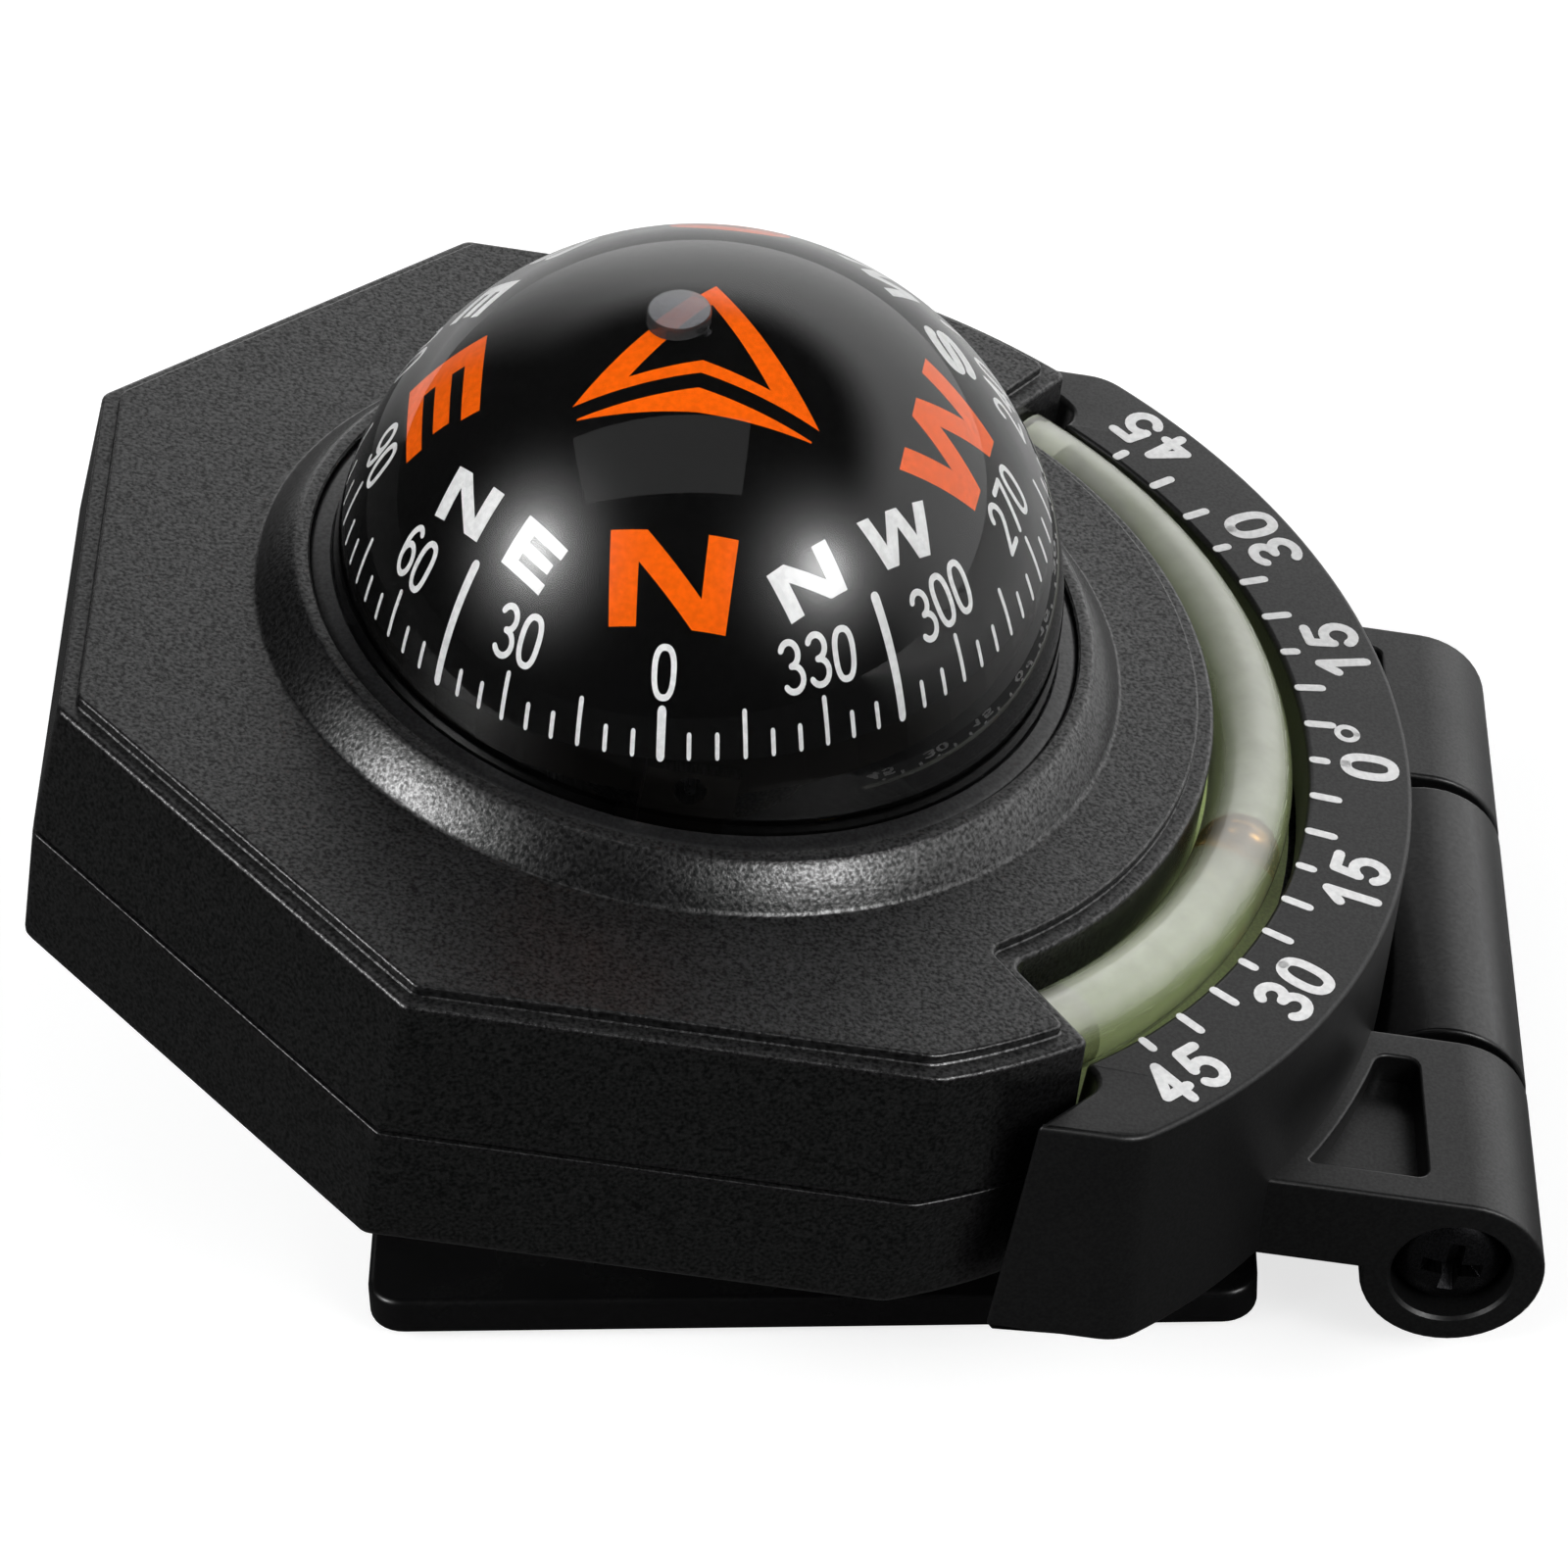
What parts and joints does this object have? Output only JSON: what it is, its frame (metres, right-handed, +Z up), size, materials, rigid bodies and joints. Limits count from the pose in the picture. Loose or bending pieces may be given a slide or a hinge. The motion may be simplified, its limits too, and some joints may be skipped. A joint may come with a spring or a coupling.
{
  "type": "dash-mount liquid compass with slope meter",
  "caption": "Octagonal liquid-filled dome compass with a curved slope meter tube, on a tilting hinge and an adhesive base plate.",
  "frame": {"origin": "the middle of the adhesive pad's underside", "axes": "+X to the hinge along the longest extent, +Y away from the reader who faces the dial, +Z up out of the mounting surface"},
  "size_m": [0.0903, 0.0744, 0.0604],
  "materials": {
    "housing_plastic": "fine sand-textured black moulding",
    "bracket_plastic": "smooth semi-gloss black moulding",
    "scale_plastic": "satin dark grey moulding with white printing",
    "adhesive_foam": "closed-cell foam tape",
    "seal_rubber": "black rubber",
    "luminous_strip": "luminous yellow-green film",
    "tube_plastic": "clear acrylic tube",
    "clear_dome": "clear acrylic",
    "bowl_plastic": "dark moulding",
    "card_plastic": "satin black with white and orange printing",
    "float_plastic": "pale foam plastic",
    "steel": "zinc-plated steel",
    "brass": "turned brass",
    "blackened_brass": "blackened turned brass",
    "magnet_metal": "bare magnet",
    "ball_metal": "polished copper-coloured ball"
  },
  "bodies": {
    "bracket": {"base_plate": "bracket_plastic", "adhesive_pad": "adhesive_foam"},
    "housing": {"lower_shell": "housing_plastic", "upper_shell": "housing_plastic", "shell_screw_1": "steel", "shell_screw_2": "steel", "shell_screw_3": "steel", "shell_screw_4": "steel", "level_frame": "scale_plastic", "level_backing": "luminous_strip", "level_tube": "tube_plastic", "level_plug_near": "tube_plastic", "level_plug_far": "tube_plastic", "hinge_screw": "steel", "hinge_nut": "steel", "dome": "clear_dome", "dome_seal": "seal_rubber", "bowl": "bowl_plastic", "diaphragm": "seal_rubber", "filler_plug": "brass", "gimbal_yoke": "blackened_brass"},
    "outer_gimbal": {"gimbal_ring": "blackened_brass", "ring_pin_near": "steel", "ring_pin_far": "steel"},
    "inner_gimbal": {"cradle": "blackened_brass", "cradle_pin_left": "steel", "cradle_pin_right": "steel", "counterweight": "blackened_brass", "pivot_pin": "steel"},
    "card": {"compass_card": "card_plastic", "card_hub": "clear_dome", "card_float": "float_plastic", "card_magnet_1": "magnet_metal", "card_magnet_2": "magnet_metal"},
    "slope_ball": {"level_ball": "ball_metal"}
  },
  "joints": [
    {"name": "tilt", "type": "hinge", "parent": "bracket", "child": "housing", "pos_m": [0.03835, 0, 0.007], "axis": [0, 1, 0], "range_deg": [-14, 110]},
    {"name": "gimbal_pitch", "type": "hinge", "parent": "housing", "child": "outer_gimbal", "pos_m": [-0.0062, 0, 0.03836], "axis": [0, 1, 0], "range_deg": [-21, 39]},
    {"name": "gimbal_roll", "type": "hinge", "parent": "outer_gimbal", "child": "inner_gimbal", "pos_m": [-0.0062, 0, 0.03836], "axis": [0.9989, 0, -0.0468], "range_deg": [-30, 30]},
    {"name": "card_spin", "type": "hinge", "parent": "inner_gimbal", "child": "card", "pos_m": [-0.0062, 0, 0.03836], "axis": [0.0468, 0, 0.9989], "continuous": true},
    {"name": "slope_ball_roll", "type": "hinge", "parent": "housing", "child": "slope_ball", "pos_m": [-0.00759, 0, 0.03153], "axis": [0.199, 0, 0.98], "range_deg": [-30, 57.8]}
  ]
}
